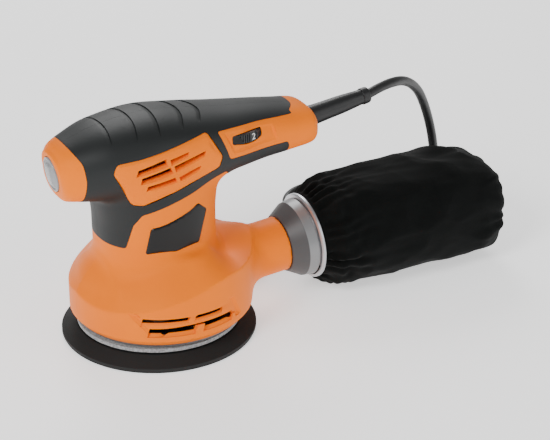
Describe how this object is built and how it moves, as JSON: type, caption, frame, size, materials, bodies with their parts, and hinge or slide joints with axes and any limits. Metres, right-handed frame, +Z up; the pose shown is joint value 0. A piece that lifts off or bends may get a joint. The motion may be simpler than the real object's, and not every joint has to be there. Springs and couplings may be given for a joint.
{
  "type": "orbital sander",
  "caption": "Palm-grip random orbit sander with a round pad, speed dial, nose switch, dust spigot with cloth bag, and mains lead with plug.",
  "frame": {"origin": "centre of the sanding face, on the plane the sander rests on", "axes": "+Z up along the pad axis, -X towards the nose with the switch, +X towards the handle end and dust bag"},
  "size_m": [0.3498, 0.1685, 0.152],
  "materials": {
    "housing": "satin moulded ABS",
    "grip": "soft matt overmould",
    "badge": "satin black",
    "boot": "translucent silicone",
    "black_plastic": "matt black",
    "board": "solder mask",
    "steel": "ground",
    "lamination": "dull laminations",
    "copper": "lacquered copper",
    "brass": "stamped",
    "cast": "die cast",
    "fan_plastic": "glass-filled nylon",
    "foam": "polyurethane foam",
    "hook": "hook fabric",
    "felt": "pressed felt",
    "ring_rubber": "moulded rubber",
    "carbon": "pressed carbon",
    "blue_plastic": "dipped",
    "collar": "metallic grey",
    "bright_ring": "bright grey",
    "bag": "brushed cloth",
    "hem": "elastic webbing",
    "cord": "rubber sheath",
    "pin_metal": "nickel plate"
  },
  "bodies": {
    "root": {"housing_left": "housing", "housing_right": "housing", "grip_left": "grip", "grip_right": "grip", "badge_left": "badge", "badge_right": "badge", "switch_boot": "boot", "switch_body": "black_plastic", "speed_module": "board", "field_core": "lamination", "field_coils": "copper", "upper_bearing": "steel", "bearing_sleeve": "ring_rubber", "lower_bearing": "steel", "bearing_plate": "cast", "brake_ring": "ring_rubber", "felt_ring": "felt", "brush_holders": "brass", "carbon_brushes": "carbon", "brush_springs": "steel", "capacitor": "blue_plastic", "spigot_tube": "housing", "housing_screws": "steel", "cord_sleeve": "cord", "cord_clamp": "black_plastic", "clamp_screws": "steel", "cord_lead": "cord", "cord_hank": "cord", "cord_tie": "hem", "plug_body": "cord", "plug_pins": "pin_metal"},
    "rotor": {"armature_shaft": "steel", "armature_core": "lamination", "armature_coils": "copper", "commutator": "copper", "cooling_fan": "fan_plastic", "eccentric_hub": "cast", "dust_fan": "fan_plastic", "pad_bearing": "steel"},
    "pad": {"pad_spindle": "steel", "pad_plate": "black_plastic", "pad_foam": "foam", "hook_layer": "hook", "pad_washer": "steel", "pad_screw": "steel"},
    "dial": {"speed_dial": "black_plastic"},
    "rocker": {"switch_rocker": "black_plastic"},
    "bag": {"bag_collar": "collar", "collar_ring": "bright_ring", "bag_cloth": "bag", "bag_hem": "hem", "bag_frame": "steel"}
  },
  "joints": [
    {"name": "rotor_spin", "type": "hinge", "parent": "root", "child": "rotor", "pos_m": [-0.00125, 0, 0.08], "axis": [0, 0, 1], "continuous": true},
    {"name": "pad_spin", "type": "hinge", "parent": "rotor", "child": "pad", "pos_m": [0, 0, 0.018], "axis": [0, 0, 1], "continuous": true},
    {"name": "dial_turn", "type": "hinge", "parent": "root", "child": "dial", "pos_m": [0.0525, -0.01342, 0.1316], "axis": [0, 0, 1], "range_deg": [0, 270]},
    {"name": "switch_rock", "type": "hinge", "parent": "root", "child": "rocker", "pos_m": [-0.06107, 0, 0.12377], "axis": [0, 1, 0], "range_deg": [0, 16]},
    {"name": "bag_slide", "type": "slide", "parent": "root", "child": "bag", "axis": [0.9976, 0, 0.0698], "range_m": [0, 0.02]}
  ]
}
